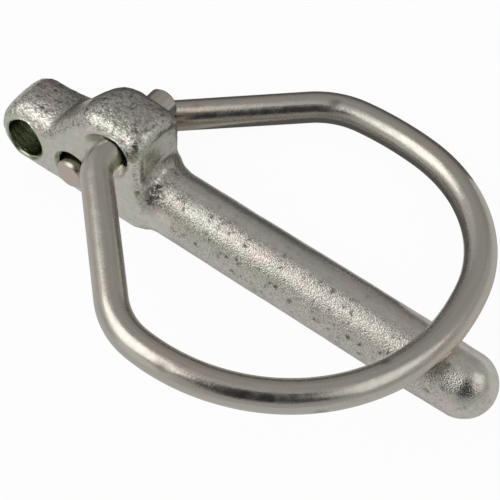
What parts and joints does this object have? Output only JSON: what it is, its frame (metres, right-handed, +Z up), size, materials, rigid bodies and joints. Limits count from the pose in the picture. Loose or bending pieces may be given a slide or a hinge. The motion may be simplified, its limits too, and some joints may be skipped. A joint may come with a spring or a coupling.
{
  "type": "lynch pin",
  "caption": "Forged lynch pin with a cross-drilled humped head, a rounded tip and a sprung wire ring that swings over the shaft and locks behind the tip.",
  "frame": {"origin": "on the shaft's axis, where its full diameter starts beside the head", "axes": "+X along the shaft to its tip; +Z up as the pin lies on a surface, rolled about 22 degrees so that it rests on its shaft, its lug and one side of its ring; +Y towards that side"},
  "size_m": [0.0915, 0.0599, 0.0255],
  "materials": {
    "forging": "drop forged, shot blasted, zinc plated and clear passivated; greenish and pinkish tints",
    "wire": "smooth drawn spring wire with a satin plated finish and fine drawing marks"
  },
  "bodies": {
    "pin": {"pin": "forging"},
    "ring": {"ring": "wire"}
  },
  "joints": [
    {"name": "ring_swing", "type": "hinge", "parent": "pin", "child": "ring", "pos_m": [-0.0136, 0.00207, 0.00515], "axis": [0, -0.9281, 0.3724], "range_deg": [0, 180], "deforming": ["ring"]}
  ]
}
